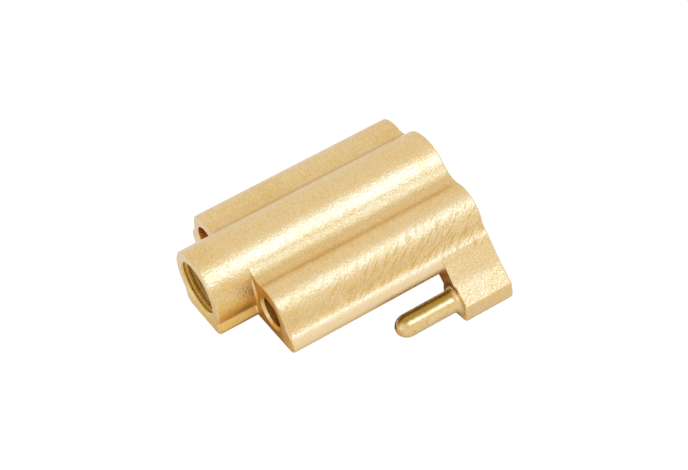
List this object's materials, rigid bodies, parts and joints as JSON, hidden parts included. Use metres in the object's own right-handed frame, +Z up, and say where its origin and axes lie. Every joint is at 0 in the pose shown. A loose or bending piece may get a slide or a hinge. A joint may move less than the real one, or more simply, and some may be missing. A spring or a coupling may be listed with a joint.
{
  "type": "three-bore brass block with locating pin",
  "caption": "Machined brass block with a threaded centre tube, a plain bore in a lobe on each side, and a dome-nosed pin on a rear side lug.",
  "frame": {"origin": "middle of the flat base, under the axis of the centre bore and halfway along the block", "axes": "+Y along the bores from the threaded mouth to the rear face, +X towards the side with the lug and pin, +Z up from the base to the bores"},
  "size_m": [0.0217, 0.0246, 0.0113],
  "materials": {
    "satin_brass": "satin, fine-blasted after milling",
    "polished_brass": "turned and polished"
  },
  "bodies": {
    "root": {"bore_block": "satin_brass", "locating_pin": "polished_brass"}
  },
  "joints": []
}
